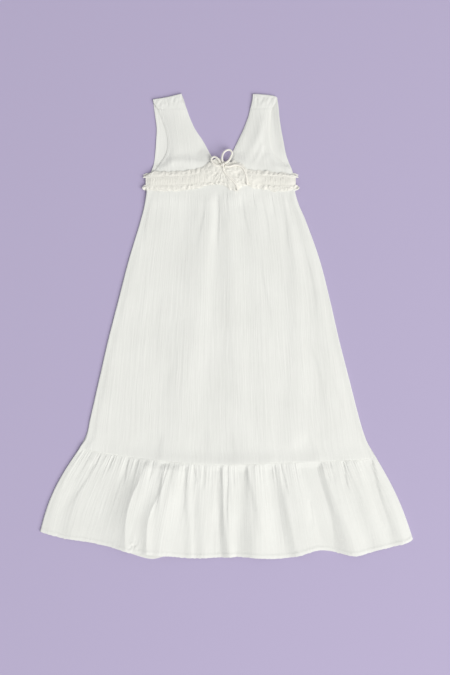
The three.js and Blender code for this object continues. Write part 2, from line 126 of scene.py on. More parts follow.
LEFT_TOP = {"side": "left", "outer": 397.5, "inner": 407.5, "round": 1.35}
RIGHT_TOP = {"side": "right", "outer": 399, "inner": 406.8, "round": 0.3}

SKIRT_FOLDS = columns("waist foot high low", [
    (-139, -257, 0, 0),
    (-128, -238, 1.3, 1.5),
    (-110, -205, 0.8, 0.8),
    (-70, -143, 0.4, 0.4),
    (-29, -92, 3.2, 1.4),
    (-17, -37, 1.0, 0.4),
    (-3, 41, 3.1, 1.6),
    (18, 58, 2.0, 1.2),
    (36, 75, 2.3, 1.3),
    (88, 92, 0.5, 0.5),
    (100, 122, 1.6, 1.3),
    (106, 170, 0.8, 0.5),
    (113, 215, 1.4, 1.6),
    (118, 261, 0, 0),
])
FLOUNCE_FOLDS = columns("seam hem high low", [
    (-257, -326, 0, 0),
    (-248, -312, 1.0, 1.6),
    (-237, -295, 0.7, 0.9),
    (-226, -272, 1.3, 2.2),
    (-190, -249, 1.0, 1.7),
    (-148, -216, 0.4, 1.0),
    (-114, -154, 0.5, 1.0),
    (-102.5, -136, 0.9, 1.9),
    (-95.5, -130.5, 0.8, 1.8),
    (-85, -116.5, 1.4, 3.8),
    (-74.5, -76, 1.0, 2.6),
    (-65.5, -62, 1.4, 3.4),
    (-57, -55, 0.9, 2.4),
    (-46.5, -41, 1.7, 3.6),
    (-20, -11.5, 0.4, 0.6),
    (-10.5, 6, 2.3, 5.2),
    (26.5, 18.5, 0.8, 2.0),
    (38.5, 53.5, 2.7, 7.2),
    (71, 106, 0.6, 0.9),
    (85, 128.5, 2.2, 5.6),
    (144.5, 186.5, 0.4, 0.5),
    (160, 221.5, 2.7, 7.6),
    (198.5, 254.5, 1.0, 2.2),
    (209, 272, 1.5, 3.2),
    (235.5, 289.5, 0.5, 0.8),
    (249.5, 310.5, 1.5, 3.0),
    (261, 326, 0, 0),
])

# The flounce's two deepest folds: the crest, how far the left and right flanks reach, and how high it is.
# Where there are two numbers, they are for the seam and for lower down.
DEEP_FOLDS = (
    {"rise_reach": (42, 78), "fall_reach": 80, "high": (4.4, 8.8), "crest": columns("y x", [
        (-226, -136), (-269, -152), (-295, -164), (-321, -172), (-348, -176), (-400, -176),
    ])},
    {"rise_reach": (20, 36), "fall_reach": 70, "high": (4, 5.2), "crest": columns("y x", [
        (-232, -110), (-269, -113), (-295, -119), (-321, -131), (-348, -138), (-400, -139),
    ])},
)

# How far the frills reach past the band
FRILL_REACH = columns("x top bottom", [
    (-143, 5, 9), (-126, 11, 11), (-90, 9, 10), (-52, 11, 9), (-34, 17, 5), (-18, 27, 4),
    (-3, 22, 7), (8, 22, 13), (18, 21, 15), (28, 16, 6), (38, 9, 6), (60, 10, 10), (98, 7, 10),
    (123, 5, 9),
])

# Creases, given one by one: from one point to another, how wide, and how high (below 0 it is a trough).
# How a crease sways depends on its row's number.
FLOUNCE_CREASES = columns("x y to_x to_y bend wide high", [
    (-223, -227, -234, -253, 0, 2.2, -0.7),
    (-234, -240, -283, -323, 3, 3.4, -0.7),
    (-197, -227, -209, -257, 0, 2.4, -0.8),
    (-171, -225, -185, -283, 2, 2.8, -1.3),
    (-104, -236, -131, -352, -3, 4.5, -1.5),
    (-125, -230, -139, -276, 1, 1.8, -0.6),
    (-73, -246, -80, -350, 1, 4, -0.8),
    (-101, -233, -127, -357, -5, 2.4, -0.9),
    (-92, -235, -99, -281, 0, 1.8, -0.6),
    (-71, -245, -69, -383, -3, 5, -0.7),
    (-57, -242, -53, -278, 0, 1.8, -0.8),
    (-48, -241, -48, -271, 0, 1.6, -0.6),
    (-39, -241, -41, -294, 0, 2, -0.7),
    (-15, -238, -4, -388, -1, 3.6, -1.6),
    (-1, -241, 3, -374, 1, 2, -0.9),
    (10, -241, 13, -283, 0, 1.8, -0.8),
    (20, -240, 24, -271, 0, 1.6, -0.6),
    (32, -237, 46, -380, 1, 8, -2.2),
    (55, -239, 57, -266, 0, 1.6, -0.4),
    (78, -235, 115, -383, -4, 8, -1.9),
    (92, -238, 111, -301, 0, 2, -1),
    (102, -238, 106, -271, 0, 1.6, -0.5),
    (150, -222, 216, -430, 2, 12, -3.4),
    (148, -304, 150, -357, 0, 2.2, -0.5),
    (169, -235, 183, -280, 0, 1.8, -0.7),
    (179, -235, 195, -276, 0, 1.6, -0.6),
    (200, -231, 216, -294, 0, 2.2, -1.3),
    (246, -231, 303, -396, -2, 7, -2.0),
])
SKIRT_CREASES = columns("x y to_x to_y wide high", [
    (-38, 228, -53, 133, 3, -0.5),
    (-17, 231, -13, 112, 2.6, -0.8),
    (-1, 231, 4, 179, 2.2, -0.5),
    (27, 231, 39, 142, 3, -0.6),
    (46, 230, 52, 195, 2.2, -0.5),
    (62, 230, 74, 133, 3, -0.5),
    (78, 230, 85, 182, 2.2, -0.5),
    (95, 228, 113, 112, 3, -0.7),
    (106, 226, 118, 168, 2.4, -0.5),
    (-134, 224, -150, 112, 4, -0.5),
    (-116, 46, -134, -94, 8, -0.4),
    (62, 98, 76, -33, 5, -0.5),
    (139, 125, 158, -7, 4.5, -0.7),
    (148, -50, 174, -164, 7, -0.7),
    (181, -94, 220, -199, 6, -0.4),
    (-97, -59, -120, -173, 10, -0.5),
    (-1, 60, -6, -150, 13, -0.8),
    (-118, -192, -138, -246, 13, -1.5),
    (-39, -182, -39, -239, 9, -0.6),
    (3, -185, 6, -241, 9, -0.6),
    (138, -196, 152, -248, 12, -1.6),
])
BODICE_CREASES = columns("x y to_x to_y wide high", [
    (-112, 287, -8, 286, 8, 2.0),
    (-85, 312, -113, 277, 6, 0.5),
    (-116, 375, -106, 308, 7, 0.5),
    (-64, 382, -46, 308, 6, 0.5),
    (-46, 308, -29, 280, 5, 0.6),
    (78, 375, 20, 266, 9, 1.9),
    (66, 322, 41, 270, 4.5, 1),
    (97, 326, 55, 277, 7, 1.1),
    (73, 305, 108, 256, 5, 1.6),
    (83, 308, 116, 268, 3, -0.6),
    (76, 410, 76, 308, 5, 0.8),
    (34, 357, 20, 291, 4, 0.5),
])
BACK_CREASES = columns("x y to_x to_y wide high", [
    (-120, 210, -150, 60, 6, 0.5),
    (-60, 205, -78, -40, 7, 0.6),
    (-12, 212, -8, 60, 5, 0.5),
    (30, 210, 48, 90, 5, 0.6),
    (80, 208, 110, 20, 7, 0.5),
    (-110, 20, -140, -190, 9, 0.5),
    (20, 10, 30, -200, 9, 0.5),
    (130, 0, 168, -190, 8, 0.6),
    (-200, -250, -232, -330, 7, 0.6),
    (-120, -250, -148, -360, 7, 0.6),
    (-40, -260, -46, -370, 8, 0.5),
    (50, -255, 66, -360, 7, 0.6),
    (130, -255, 168, -350, 8, 0.5),
    (215, -250, 262, -350, 7, 0.6),
    (-96, 360, -90, 300, 6, 0.5),
    (66, 362, 58, 300, 6, 0.5),
])

# The bow: points in millimetres, z above what the bow lies on
KNOT = {"x": -7, "y": 281, "z": 3.8, "wide": 8.6, "high": 7}
BOW_ROUTES = {
    "bow_loop_right": [
        (-6.6, 285.7, 3.9), (-7.9, 292.5, 4.2), (-5.3, 301.2, 2.6), (0, 306.2, 0.8), (6, 307, 0),
        (9.6, 302.5, 0.4), (7.9, 295.5, 1.8), (3.8, 288.2, 2.6), (-2.85, 283.2, 3.2),
    ],
    "bow_loop_left": [
        (-10.6, 284, 3.6), (-15.2, 291.2, 4.2), (-21.6, 294.6, 3.4), (-26.4, 290.6, 2.4),
        (-24, 284, 2.4), (-18, 280.6, 2.6), (-11.5, 279.6, 3.2),
    ],
    "bow_end_left": [
        (-6.2, 276.4, 3.4), (-5, 271, 2.6), (-0.9, 264.5, 2.2), (6, 257.5, 2.2), (13, 250.5, 2.2),
        (17.4, 243.5, 2.2), (19.3, 236, 2.2),
    ],
    "bow_end_right": [
        (-2.85, 278.8, 3.4), (4, 277.6, 2.6), (13, 280.4, 2.2), (21.5, 280, 2.2), (28.5, 275, 2.2),
        (32.6, 266.5, 2.2), (34.6, 256.5, 2.2), (36, 246.5, 2.2),
    ],
}


# Curves, folds and creases

def lerp(a, b, t):
    return a + (b - a) * t


def smooth(t):
    t = np.clip(t, 0, 1)
    return t * t * (3 - 2 * t)


def bump(distance, wide):
    return np.exp(-((distance / wide) ** 2))


def curve(table, source, target):
    """A smooth curve through a table's rows: one column as a function of another."""
    order = np.argsort(table[source])
    x = table[source][order]
    y = table[target][order]
    slope = np.gradient(y, x)
    slope[1:-1] = (y[2:] - y[:-2]) / (x[2:] - x[:-2])

    def at(value):
        value = np.clip(value, x[0], x[-1])
        i = np.clip(np.searchsorted(x, value) - 1, 0, len(x) - 2)
        step = x[i + 1] - x[i]
        rise = y[i + 1] - y[i]
        t = (value - x[i]) / step
        bend = (1 - t) * slope[i] * step - t * slope[i + 1] * step
        return y[i] + t * rise + t * (1 - t) * (bend - (1 - 2 * t) * rise)

    return at


def folds_of(table, start, end):
    """Height of a run of crests and troughs, by shares of the panel's width and depth."""
    first = (table[start] - table[start][0]) / (table[start][-1] - table[start][0])
    last = (table[end] - table[end][0]) / (table[end][-1] - table[end][0])
    high = table["high"]
    low = table["low"]

    def height(across, down):
        total = lerp(high[0], low[0], down)
        for i in range(len(first) - 1):
            place = lerp(first[i], last[i], down)
            after = lerp(first[i + 1], last[i + 1], down)
            rise = lerp(high[i + 1] - high[i], low[i + 1] - low[i], down)
            total = total + rise * smooth((across - place) / (after - place))
        return total

    return height


def crease_lines(table, x, y):
    """For each row of a table, how far points are along its line, as a share, and how far to its side."""
    for i in range(len(table["x"])):
        start = np.array([table["x"][i], table["y"][i]])
        way = np.array([table["to_x"][i], table["to_y"][i]]) - start
        length = np.hypot(*way)
        along = ((x - start[0]) * way[0] + (y - start[1]) * way[1]) / length**2
        aside = ((x - start[0]) * -way[1] + (y - start[1]) * way[0]) / length
        bend = table["bend"][i] if "bend" in table else 0
        sway = 0.02 * length * np.sin(5 * along + i) + 4 * bend * along * (1 - along)
        yield i, along, aside - sway


def creases(table, x, y):
    """Height of soft troughs and ridges along gently swaying lines that fade out at both ends."""
    total = np.zeros_like(x)
    for i, along, aside in crease_lines(table, x, y):
        fade = smooth(along / 0.15) * smooth((1 - along) / 0.6)
        total += table["high"][i] * fade * bump(aside, table["wide"][i])
    return total


def falls(table, x, y, start):
    """Height of troughs that widen as they run down from a seam, steeper on their right."""
    total = np.zeros_like(x)
    for i, along, aside in crease_lines(table, x, y):
        fade = smooth(along / start + 0.5) * smooth((1 - along) / 0.45)
        wide = table["wide"][i] * (1 + np.clip(along, 0, 1))
        wall = np.where(aside < 0, smooth(1 + aside / (3 * wide)), 1 - smooth(aside / wide))
        total += table["high"][i] * fade * wall
    return total


NOISE_SIZE = 128
CRINKLE = 0.13  # height of the cloth's puffs


def noise(x, y, seed):
    """Smooth noise from about -1 to 1, with one hump or hollow for each unit of x and y."""
    angle = np.random.default_rng(seed).uniform(0, 2 * np.pi, (NOISE_SIZE, NOISE_SIZE))
    way_x = np.cos(angle)
    way_y = np.sin(angle)
    x, y = np.broadcast_arrays(np.asarray(x, float), np.asarray(y, float))
    i = np.floor(x).astype(int)
    j = np.floor(y).astype(int)
    s = x - i
    t = y - j

    def corner(di, dj):
        at = ((i + di) % NOISE_SIZE, (j + dj) % NOISE_SIZE)
        return way_x[at] * (s - di) + way_y[at] * (t - dj)

    low = lerp(corner(0, 0), corner(1, 0), smooth(s))
    high = lerp(corner(0, 1), corner(1, 1), smooth(s))
    return 1.6 * lerp(low, high, smooth(t))


def crinkle(across, along, seed):
    """Double gauze's long narrow puffs with sharp grooves between them, from about -1 to 1."""
    along = along + 45 * noise(across / 11, along / 160, seed + 3)
    across = across + 1.6 * noise(across / 30, along / 50, seed + 4)
    puffs = np.abs(noise(across / 3.2, along / 110, seed))
    broad = np.abs(noise(across / 6.4, along / 140, seed + 1))
    fine = noise(across / 1.9, along / 40, seed + 2)
    return 1.5 * puffs + 1.2 * broad + 0.3 * fine - 0.95


def uneven(u):
    """Shares along a gathered edge, moved a little so that its gathers differ in length."""
    return u + (0.005 * np.sin(31 * u) + 0.002 * np.sin(73 * u)) * np.sin(np.pi * u)


def gathers(count, u):
    size = 0.8 + 0.2 * np.sin(57 * u)
    return size * (0.5 - 0.5 * np.cos(2 * np.pi * count * u))


CORD_POINTS = 36


def between(t, start, end, a, b):
    return ((end - t) * a + (t - start) * b) / (end - start)


def smooth_route(route):
    """Evenly spaced points of the centripetal Catmull-Rom curve through a route."""
    p = np.array(route, float)
    p = np.vstack([2 * p[0] - p[1], p, 2 * p[-1] - p[-2]])
    times = np.concatenate([[0], np.cumsum(np.linalg.norm(np.diff(p, axis=0), axis=1) ** 0.5)])
    dense = []
    for i in range(len(p) - 3):
        t0, t1, t2, t3 = times[i:i + 4]
        t = np.linspace(t1, t2, 24)[:, None]
        a = between(t, t0, t1, p[i], p[i + 1])
        b = between(t, t1, t2, p[i + 1], p[i + 2])
        c = between(t, t2, t3, p[i + 2], p[i + 3])
        dense.append(between(t, t1, t2, between(t, t0, t2, a, b), between(t, t1, t3, b, c)))
    dense = np.vstack(dense)
    walked = np.concatenate([[0], np.cumsum(np.linalg.norm(np.diff(dense, axis=0), axis=1))])
    even = np.linspace(0, walked[-1], CORD_POINTS)
    points = np.stack([np.interp(even, walked, dense[:, k]) for k in range(3)], -1)
    return points, walked[-1]


def resting(z, floor, softness=0.3):
    """Heights that settle gently on a floor instead of going through it."""
    above = z - floor
    return floor + 0.5 * (above + np.sqrt(above**2 + softness**2))


skirt_left = curve(SKIRT_SIDES, "y", "left")
skirt_right = curve(SKIRT_SIDES, "y", "right")
seam_y = curve(FLOUNCE_SEAM, "x", "y")
hem_y = curve(HEM, "x", "y")
hem_past = curve(HEM, "x", "past")
frill_top_reach = curve(FRILL_REACH, "x", "top")
frill_bottom_reach = curve(FRILL_REACH, "x", "bottom")
skirt_folds = folds_of(SKIRT_FOLDS, "waist", "foot")
flounce_folds = folds_of(FLOUNCE_FOLDS, "seam", "hem")
SEAM_LEFT, SEAM_RIGHT = FLOUNCE_SEAM["x"][[0, -1]]
HEM_LEFT, HEM_RIGHT = HEM["x"][[0, -1]]


def band_y(x):
    return WAIST_Y + BAND["rise"] * bump(x - BAND["rise_at"], BAND["rise_wide"])


def band_half(x, side):
    """Half the casing's width: its seams wander a little."""
    return BAND["half"] + 0.9 * noise(x / 9, 0.5, 75 + side)


def band_lift(x, y, slope=BAND_STEP["slope"]):
    past = np.abs(y - band_y(x)) - BAND_STEP["reach"]
    return (FRILL_CLOTH + LAYER) * (1 - smooth(past / slope))


BAND_FLOOR = FRILL_CLOTH + LAYER + 2 * (CLOTH + LAYER)
BOW_FLOOR = BAND_FLOOR + FRILL_WAVE_HIGH + FRILL_CLOTH - BOW_SETTLE
BEDDED_NAMES = ("bow_end_left", "bow_end_right", "bow_loop_left")
BEDDED_CORDS = [smooth_route(BOW_ROUTES[name])[0] for name in BEDDED_NAMES]


def bow_distance(x, y):
    """Distance to the nearest of the drawstring's parts that sink into the frills."""
    near = np.full(np.shape(x), np.inf)
    for at_x, at_y, _ in np.concatenate(BEDDED_CORDS):
        near = np.minimum(near, np.hypot(x - at_x, y - at_y))
    return near


def mound(near):
    """How far the cloth round the bow is pushed up, as a share."""
    return 1 - smooth((near - MOUND["level"]) / MOUND["slope"])


def front_top(x, y, from_edge=np.inf):
    """Height of the front panels' upper side: flat on the back, and tented beside the band and the bow."""
    tented = smooth(from_edge / FREE_EDGE["tent"])
    lift = lerp(band_lift(x, y), band_lift(x, y, BAND_STEP["tent"]), tented)
    pushed = MOUND["cloth"] * mound(bow_distance(x, y)) * smooth(from_edge / FREE_EDGE["mound"])
    return lift + pushed + 2 * CLOTH + LAYER


def side_drop(distance, reach=1.6, drop=1.9):
    """How far a panel comes down over its last few millimetres, where it is sewn to the layer below."""
    t = 1 - np.clip(distance / reach, 0, 1)
    return drop * (1 - np.sqrt(1 - 0.98 * t * t))


def side_form(distance):
    """A side seam: the panel stays full up to its edge, and comes down steeply there."""
    return 0.8 * (1 - smooth(distance / 12)) - side_drop(distance)


def eased(distance, reach, drop):
    """How far a panel comes down gently towards its edge."""
    return drop * np.clip(1 - distance / reach, 0, 1) ** 2


def side_distance(x, left, right):
    return np.minimum(x - left, right - x)


# Surfaces: each takes shares u and v of a piece and gives x, y and z in millimetres

def skirt_plan(u, v):
    seam_x = lerp(SEAM_LEFT, SEAM_RIGHT, u)
    y = lerp(seam_y(seam_x) + SEAM / 2, WAIST_Y - SEAM / 2, v)
    return lerp(skirt_left(y), skirt_right(y), u), y


def skirt_grain(u, v):
    """Distances across and along the cloth's threads."""
    x, y = skirt_plan(u, v)
    return lerp(x, GRAIN["skirt"] * (u - 0.5), 0.45), y


def seam_ridge(x, distance, reach):
    """The swelling along the flounce's seam, over the edges that are turned up inside."""
    within = (SEAM_RIDGE["half"] - np.abs(x - SEAM_RIDGE["middle"])) / SEAM_RIDGE["slope"]
    high = SEAM_RIDGE["low"] + SEAM_RIDGE["rise"] * smooth(within) + 0.6 * noise(x / 42, 0.5, 13)
    return high * (1 - smooth(distance / reach))


def emerging(from_waist):
    """How far a panel has come out from under the frills, as a share."""
    return smooth((from_waist - UNDER_FRILLS["wide"]) / UNDER_FRILLS["over"])


def fine_pleats(across, along, seed):
    """Narrow puffs that run down from a gathered seam."""
    return 2.4 * np.abs(noise(across / 4.2, along, seed)) - 0.8


def skirt_front(u, v):
    x, y = skirt_plan(u, v)
    across, along = skirt_grain(u, v)
    below = WAIST_Y - y
    above = y - seam_y(lerp(SEAM_LEFT, SEAM_RIGHT, u))
    from_side = side_distance(x, skirt_left(y), skirt_right(y))
    folds = skirt_folds(u, 1 - v) * smooth((below - 15) / 26)
    free = emerging(below)
    pleats = np.exp(-np.clip(below - 22, 0, None) / 40) * free * fine_pleats(across, along / 110, 11)
    slow = 0.3 * noise(x / 44, y / 90, 12) * free * smooth(above / 30)
    flat = front_top(x, y)
    z = flat + folds + 0.18 * pleats + slow + free * falls(SKIRT_CREASES, x, y, 0.5)
    grown = 0.7 + 0.4 * smooth((below - 60) / 200)
    z = resting(z + grown * CRINKLE * crinkle(across, along, 21), flat - 0.6)
    return x, y, z + seam_ridge(x, above, 24) - 0.25 * (1 - smooth(above)) + side_form(from_side)


def back_dents(x, y, threads, seed):
    """Height of the dents in a side that rests on the surface."""
    return np.clip(CRINKLE * crinkle(*threads, seed) + creases(BACK_CREASES, x, y), 0, 0.7)


def skirt_back(u, v):
    x, y = skirt_plan(u, v)
    return x, y, band_lift(x, y) + back_dents(x, y, skirt_grain(u, v), 24)


def flounce_plan(u, v, past=0):
    down = 1 - v
    seam_x = lerp(SEAM_LEFT, SEAM_RIGHT, u)
    hem_x = lerp(HEM_LEFT, HEM_RIGHT, u)
    left_out = FLOUNCE_BULGE["left"] * smooth(1 - u / FLOUNCE_BULGE["reach"])
    right_out = FLOUNCE_BULGE["right"] * smooth(1 - (1 - u) / FLOUNCE_BULGE["reach"])
    x = lerp(seam_x, hem_x, down) + np.sin(np.pi * down) * (right_out - left_out)
    y = lerp(seam_y(seam_x) - SEAM / 2, hem_y(hem_x) - past * hem_past(hem_x), down)
    return x, y


def flounce_grain(u, v):
    return GRAIN["flounce"] * u, FLOUNCE_DEPTH * v


def steep_fold(past, rise_reach, fall_reach, high):
    """A fold that steepens up to its crest and falls away gently past it."""
    rise = np.clip(1 + past / rise_reach, 0, 1) ** 2.5
    fall = np.clip(1 - past / fall_reach, 0, 1) ** 1.2
    return high * np.where(past < 0, rise, fall)


def deep_folds(x, y, down):
    """The flounce's two deepest folds, on its left."""
    grown = smooth(down / 0.5)
    total = 0
    for fold in DEEP_FOLDS:
        past = x - curve(fold["crest"], "y", "x")(y)
        rise_reach = lerp(*fold["rise_reach"], down)
        total = total + steep_fold(past, rise_reach, fold["fall_reach"], lerp(*fold["high"], grown))
    return total


def hem_roll(from_hem, across):
    """A narrow rolled hem that rises to its row of stitching."""
    puckers = 0.8 + 0.3 * noise(across / 2.6, from_hem / 7, 31)
    rise = smooth((from_hem + 1) / (HEM_ROLL["wide"] + 1))
    drop = smooth((from_hem - HEM_ROLL["wide"]) / 4)
    return HEM_ROLL["high"] * puckers * rise * (1 - drop)


def flounce_front(u, v):
    spread = uneven(u)
    x, y = flounce_plan(spread, v)
    across, along = flounce_grain(spread, v)
    down = 1 - v
    from_seam = FLOUNCE_DEPTH * down
    from_hem = FLOUNCE_DEPTH * v
    from_side = FLOUNCE_WIDE * np.minimum(u, 1 - u)
    opened = smooth(from_seam / 5)
    bow_here = BOWED["by"] * bump(x - BOWED["x"], BOWED["wide"])
    bowed = spread + bow_here * np.sin(np.pi * down)
    folds = (flounce_folds(bowed, down) + deep_folds(x, y, down)) * smooth(from_seam / 14)
    size = np.clip(0.5 + 0.8 * noise(u * 17, 0.5, 38), 0.1, 1)
    gathered = 1.2 * size * np.exp(-down / 0.22) * gathers(FLOUNCE_GATHERS, u) * opened
    fine = 0.5 * np.exp(-from_seam / 30) * opened * fine_pleats(across, along / 90, 32)
    slow = 0.4 * noise(across / 30, along / 60, 33) * smooth(from_seam / 30)
    from_crumple = np.hypot(x - CRUMPLE["x"], y - CRUMPLE["y"])
    crumple = CRUMPLE["high"] * bump(from_crumple, CRUMPLE["wide"]) * noise(x / 5, y / 5, 39)
    flat = front_top(x, y)
    z = flat + folds + gathered + fine + slow + crumple + opened * falls(FLOUNCE_CREASES, x, y, 0.04)
    z = z + opened * (CRINKLE * crinkle(across, along, 35) + 0.08 * noise(across / 16, along / 2.6, 34))
    z = resting(z, flat - 0.6) + seam_ridge(x, from_seam, 13)
    z = z + hem_roll(from_hem, across) + side_form(from_side)
    tucked = 1 - smooth(from_seam / 0.9)
    ragged = 0.7 * noise(across / 4, 0.5, 36) * smooth(1 - from_hem / 6)
    return x, y + 0.7 * tucked + ragged, z - 0.45 * tucked


def flounce_back(u, v):
    x, y = flounce_plan(u, v, past=1)
    return x, y, back_dents(x, y, flounce_grain(u, v), 37)


def flounce_back_inside(u, v):
    x, y, z = flounce_back(u, v)
    across, _ = flounce_grain(u, v)
    from_hem = FLOUNCE_DEPTH * v
    return x, y, z + SHELL + hem_roll(from_hem, across + 9) * smooth(2 - from_hem / 4)


def neck_is_right(table):
    return table["neck"][0] > table["back"][0]


def strap_sides(table, side):
    neck = curve(table, "y", "neck")
    armhole = curve(table, "y", side)
    return (armhole, neck) if neck_is_right(table) else (neck, armhole)


def strap_loft(y):
    near = (y - SHOULDER_SEAM_Y + STRAP_FOLD["settle"]) / (2 * STRAP_FOLD["settle"])
    return (STRAP_FOLD["high"] - 2 * CLOTH - LAYER) * smooth(near)


def strap_swell(y, u):
    grown = smooth((y - WAIST_Y - STRAP_SWELL["from"]) / STRAP_SWELL["over"])
    return STRAP_SWELL["high"] * np.sin(np.pi * np.clip(u, 0, 1)) ** 2 * grown


def turned_edge(distance):
    """A narrow turned-in edge with a row of stitching along it."""
    raised = smooth((TURNED_EDGE["wide"] - distance) / 1.2)
    stitched = bump(distance - TURNED_EDGE["stitches"], 0.8)
    return TURNED_EDGE["high"] * raised - TURNED_EDGE["high"] * stitched


def strap_crinkle(x, y, seed):
    return CRINKLE * crinkle(x + 0.12 * y, y, seed)


def bodice_front(table):
    left, right = strap_sides(table, "front")
    ease = EDGE_EASE["left" if neck_is_right(table) else "right"]

    def surface(u, v):
        y = lerp(WAIST_Y + SEAM / 2, SHOULDER_SEAM_Y - SEAM / 2, v)
        x = lerp(left(y), right(y), u)
        from_edge = side_distance(x, left(y), right(y))
        free = emerging(y - WAIST_Y)
        flat = front_top(x, y, from_edge) + strap_loft(y) + strap_swell(y, u)
        z = flat + strap_crinkle(x, y, 41) + 0.4 * free * noise(x / 26, y / 44, 42)
        creased = free * smooth(from_edge / FREE_EDGE["tent"]) * creases(BODICE_CREASES, x, y)
        z = resting(z + creased, flat - 0.5)
        tucked = 1 - smooth((SHOULDER_SEAM_Y - y) / 1.8)
        z = z + free * turned_edge(from_edge) - 0.4 * tucked - eased(from_edge, ease, EDGE_EASE["drop"])
        return x, y + 0.6 * tucked, z

    return surface


STRAP_TURN = (0.76, 0.85)  # shares of the back strap's length where it starts to turn over, and has turned


def bodice_back(table, top, inside):
    """A back half: up from the waist, over the shoulder and down to the seam on the front."""
    left, right = strap_sides(table, "back")
    over_left, over_right = strap_sides(table, "front")
    radius = STRAP_FOLD["high"] / 2
    begins, turned = STRAP_TURN

    def surface(u, v):
        inwards = np.clip(u if neck_is_right(table) else 1 - u, 0, 1)
        fold_y = lerp(top["outer"], top["inner"], inwards ** top["round"]) - radius
        lying_y = lerp(WAIST_Y + SEAM / 2, fold_y, np.clip(v / begins, 0, 1))
        lying_x = lerp(left(lying_y), right(lying_y), u)
        angle = np.pi * np.clip((v - begins) / (turned - begins), 0, 1)
        down = np.clip((v - turned) / (1 - turned), 0, 1)
        over_y = lerp(fold_y, SHOULDER_SEAM_Y + SEAM / 2, down)
        over_x = lerp(lying_x, lerp(over_left(over_y), over_right(over_y), u), down)
        x = np.where(v <= turned, lying_x, over_x)
        width = right(lying_y) - left(lying_y)
        from_edge = np.minimum(u, 1 - u) * width
        curled = ARMHOLE_CURL[top["side"]] * (1 - smooth(inwards * width / ARMHOLE_CURL["wide"]))
        over = smooth((v - begins + 0.05) / 0.1)
        puffs = strap_crinkle(x, np.where(v <= turned, lying_y, 2 * fold_y - over_y), 43)
        if inside:
            inset = SHELL + puffs + turned_edge(from_edge) * (1 - over)
        else:
            lying_inset = np.clip(creases(BACK_CREASES, lying_x, lying_y) - puffs, 0, 0.6)
            puckers = 0.65 * noise(x / 5, over_y / 9, 44) * smooth(down / 0.2) * smooth((1 - down) / 0.5)
            over_inset = 0.15 - puckers - puffs - turned_edge(from_edge) + eased(from_edge, 8, 0.9)
            inset = lerp(lying_inset, over_inset, over) + 0.15 * smooth((down - 0.8) / 0.2)
        reach = radius - inset
        settled = CLOTH + LAYER + strap_loft(over_y) + down * strap_swell(over_y, u)
        y = np.where(v <= begins, lying_y, np.where(v <= turned, fold_y + reach * np.sin(angle), over_y))
        before_turn = 1 - smooth((v - begins + 0.2) / 0.2)
        inset = inset + curled * before_turn * smooth((lying_y - WAIST_Y - 30) / 30)
        z_over = np.where(v <= turned, radius - reach * np.cos(angle), settled + CLOTH - inset)
        return x, y, np.where(v <= begins, band_lift(lying_x, lying_y) + inset, z_over)

    return surface


def strap_grain(table):
    left, right = strap_sides(table, "back")

    def grain(u, v):
        y = lerp(WAIST_Y, SHOULDER_SEAM_Y, v)
        return lerp(left(y), right(y), u), GRAIN["strap"] * v

    return grain


def band_x(u, ends):
    return lerp(ends["left"], ends["right"], uneven(u))


def bunching(x, y):
    """Folds that spread out from the bow's knot, where the drawstring pulls the band together."""
    across = x - KNOT["x"]
    up = y - KNOT["y"] + BUNCHING["below"]
    far = np.hypot(across, up)
    angle = np.arctan2(up, across)
    rays = noise(3.4 * angle, far / 26, 70) + 0.6 * noise(7 * angle, far / 12, 71)
    return bump(far, BUNCHING["wide"]) * smooth(far / BUNCHING["knot"]) * rays


def bedded(x, y, z, to_edge):
    """Brings the frills up round the drawstring's parts that sink into them, as a crumpled mound."""
    near = bow_distance(x, y)
    from_loop = np.hypot(x - LOOP_MOUND["x"], y - LOOP_MOUND["y"])
    fall = MOUND["fall"] - LOOP_MOUND["less"] * bump(from_loop, LOOP_MOUND["wide"])
    share = 1 - fall * smooth(1 - to_edge / MOUND["edge"])
    crumples = 1.2 * bunching(x, y) + 1.0 * noise(x / 6, y / 7, 72) + 0.4 * noise(x / 2.6, y / 3.4, 73)
    bed = BOW_FLOOR + MOUND["high"] + crumples * (0.25 + 0.75 * smooth(near / 6))
    return lerp(z, np.maximum(z, bed), share * mound(near))


def band_end(x, ends):
    """How far the band comes down at its two ends."""
    from_end = side_distance(x, ends["left"], ends["right"])
    return BAND_END["drop"] * (1 - smooth(from_end / BAND_END["reach"]))


def lively(x):
    """How deep the band's ruffles are: shallow at its left end, where it is pressed flat."""
    return lerp(PRESSED_END["depth"], 1, smooth((x - PRESSED_END["x"]) / PRESSED_END["over"]))


def casing_front(u, v):
    x = band_x(u, BAND)
    y = band_y(x) + lerp(-band_half(x, -1), band_half(x, 1), v)
    arch = np.sin(np.pi * np.clip(v, 0, 1))
    phase = 4 * np.pi * FRILL_WAVES * u + 1.6 * noise(u * 23, v, 50)
    shirring = 0.16 * np.cos(phase) * (0.7 + 0.6 * noise(u * FRILL_WAVES, v, 51))
    small = (0.5 * noise(u * 40, 1.4 * v, 52) + 0.2 * noise(u * 120, 3 * v, 53)) * lively(x)
    z = BAND_FLOOR + BAND_EDGE + 0.5 * arch + (shirring + small) * (0.5 + 0.5 * arch) + 1.2 * bunching(x, y)
    up = BAND["half"] * (1 - v) * 2 + frill_top_reach(x)
    down = BAND["half"] * v * 2 + frill_bottom_reach(x)
    return x, y, bedded(x, y, z, np.minimum(up, down)) - band_end(x, BAND)


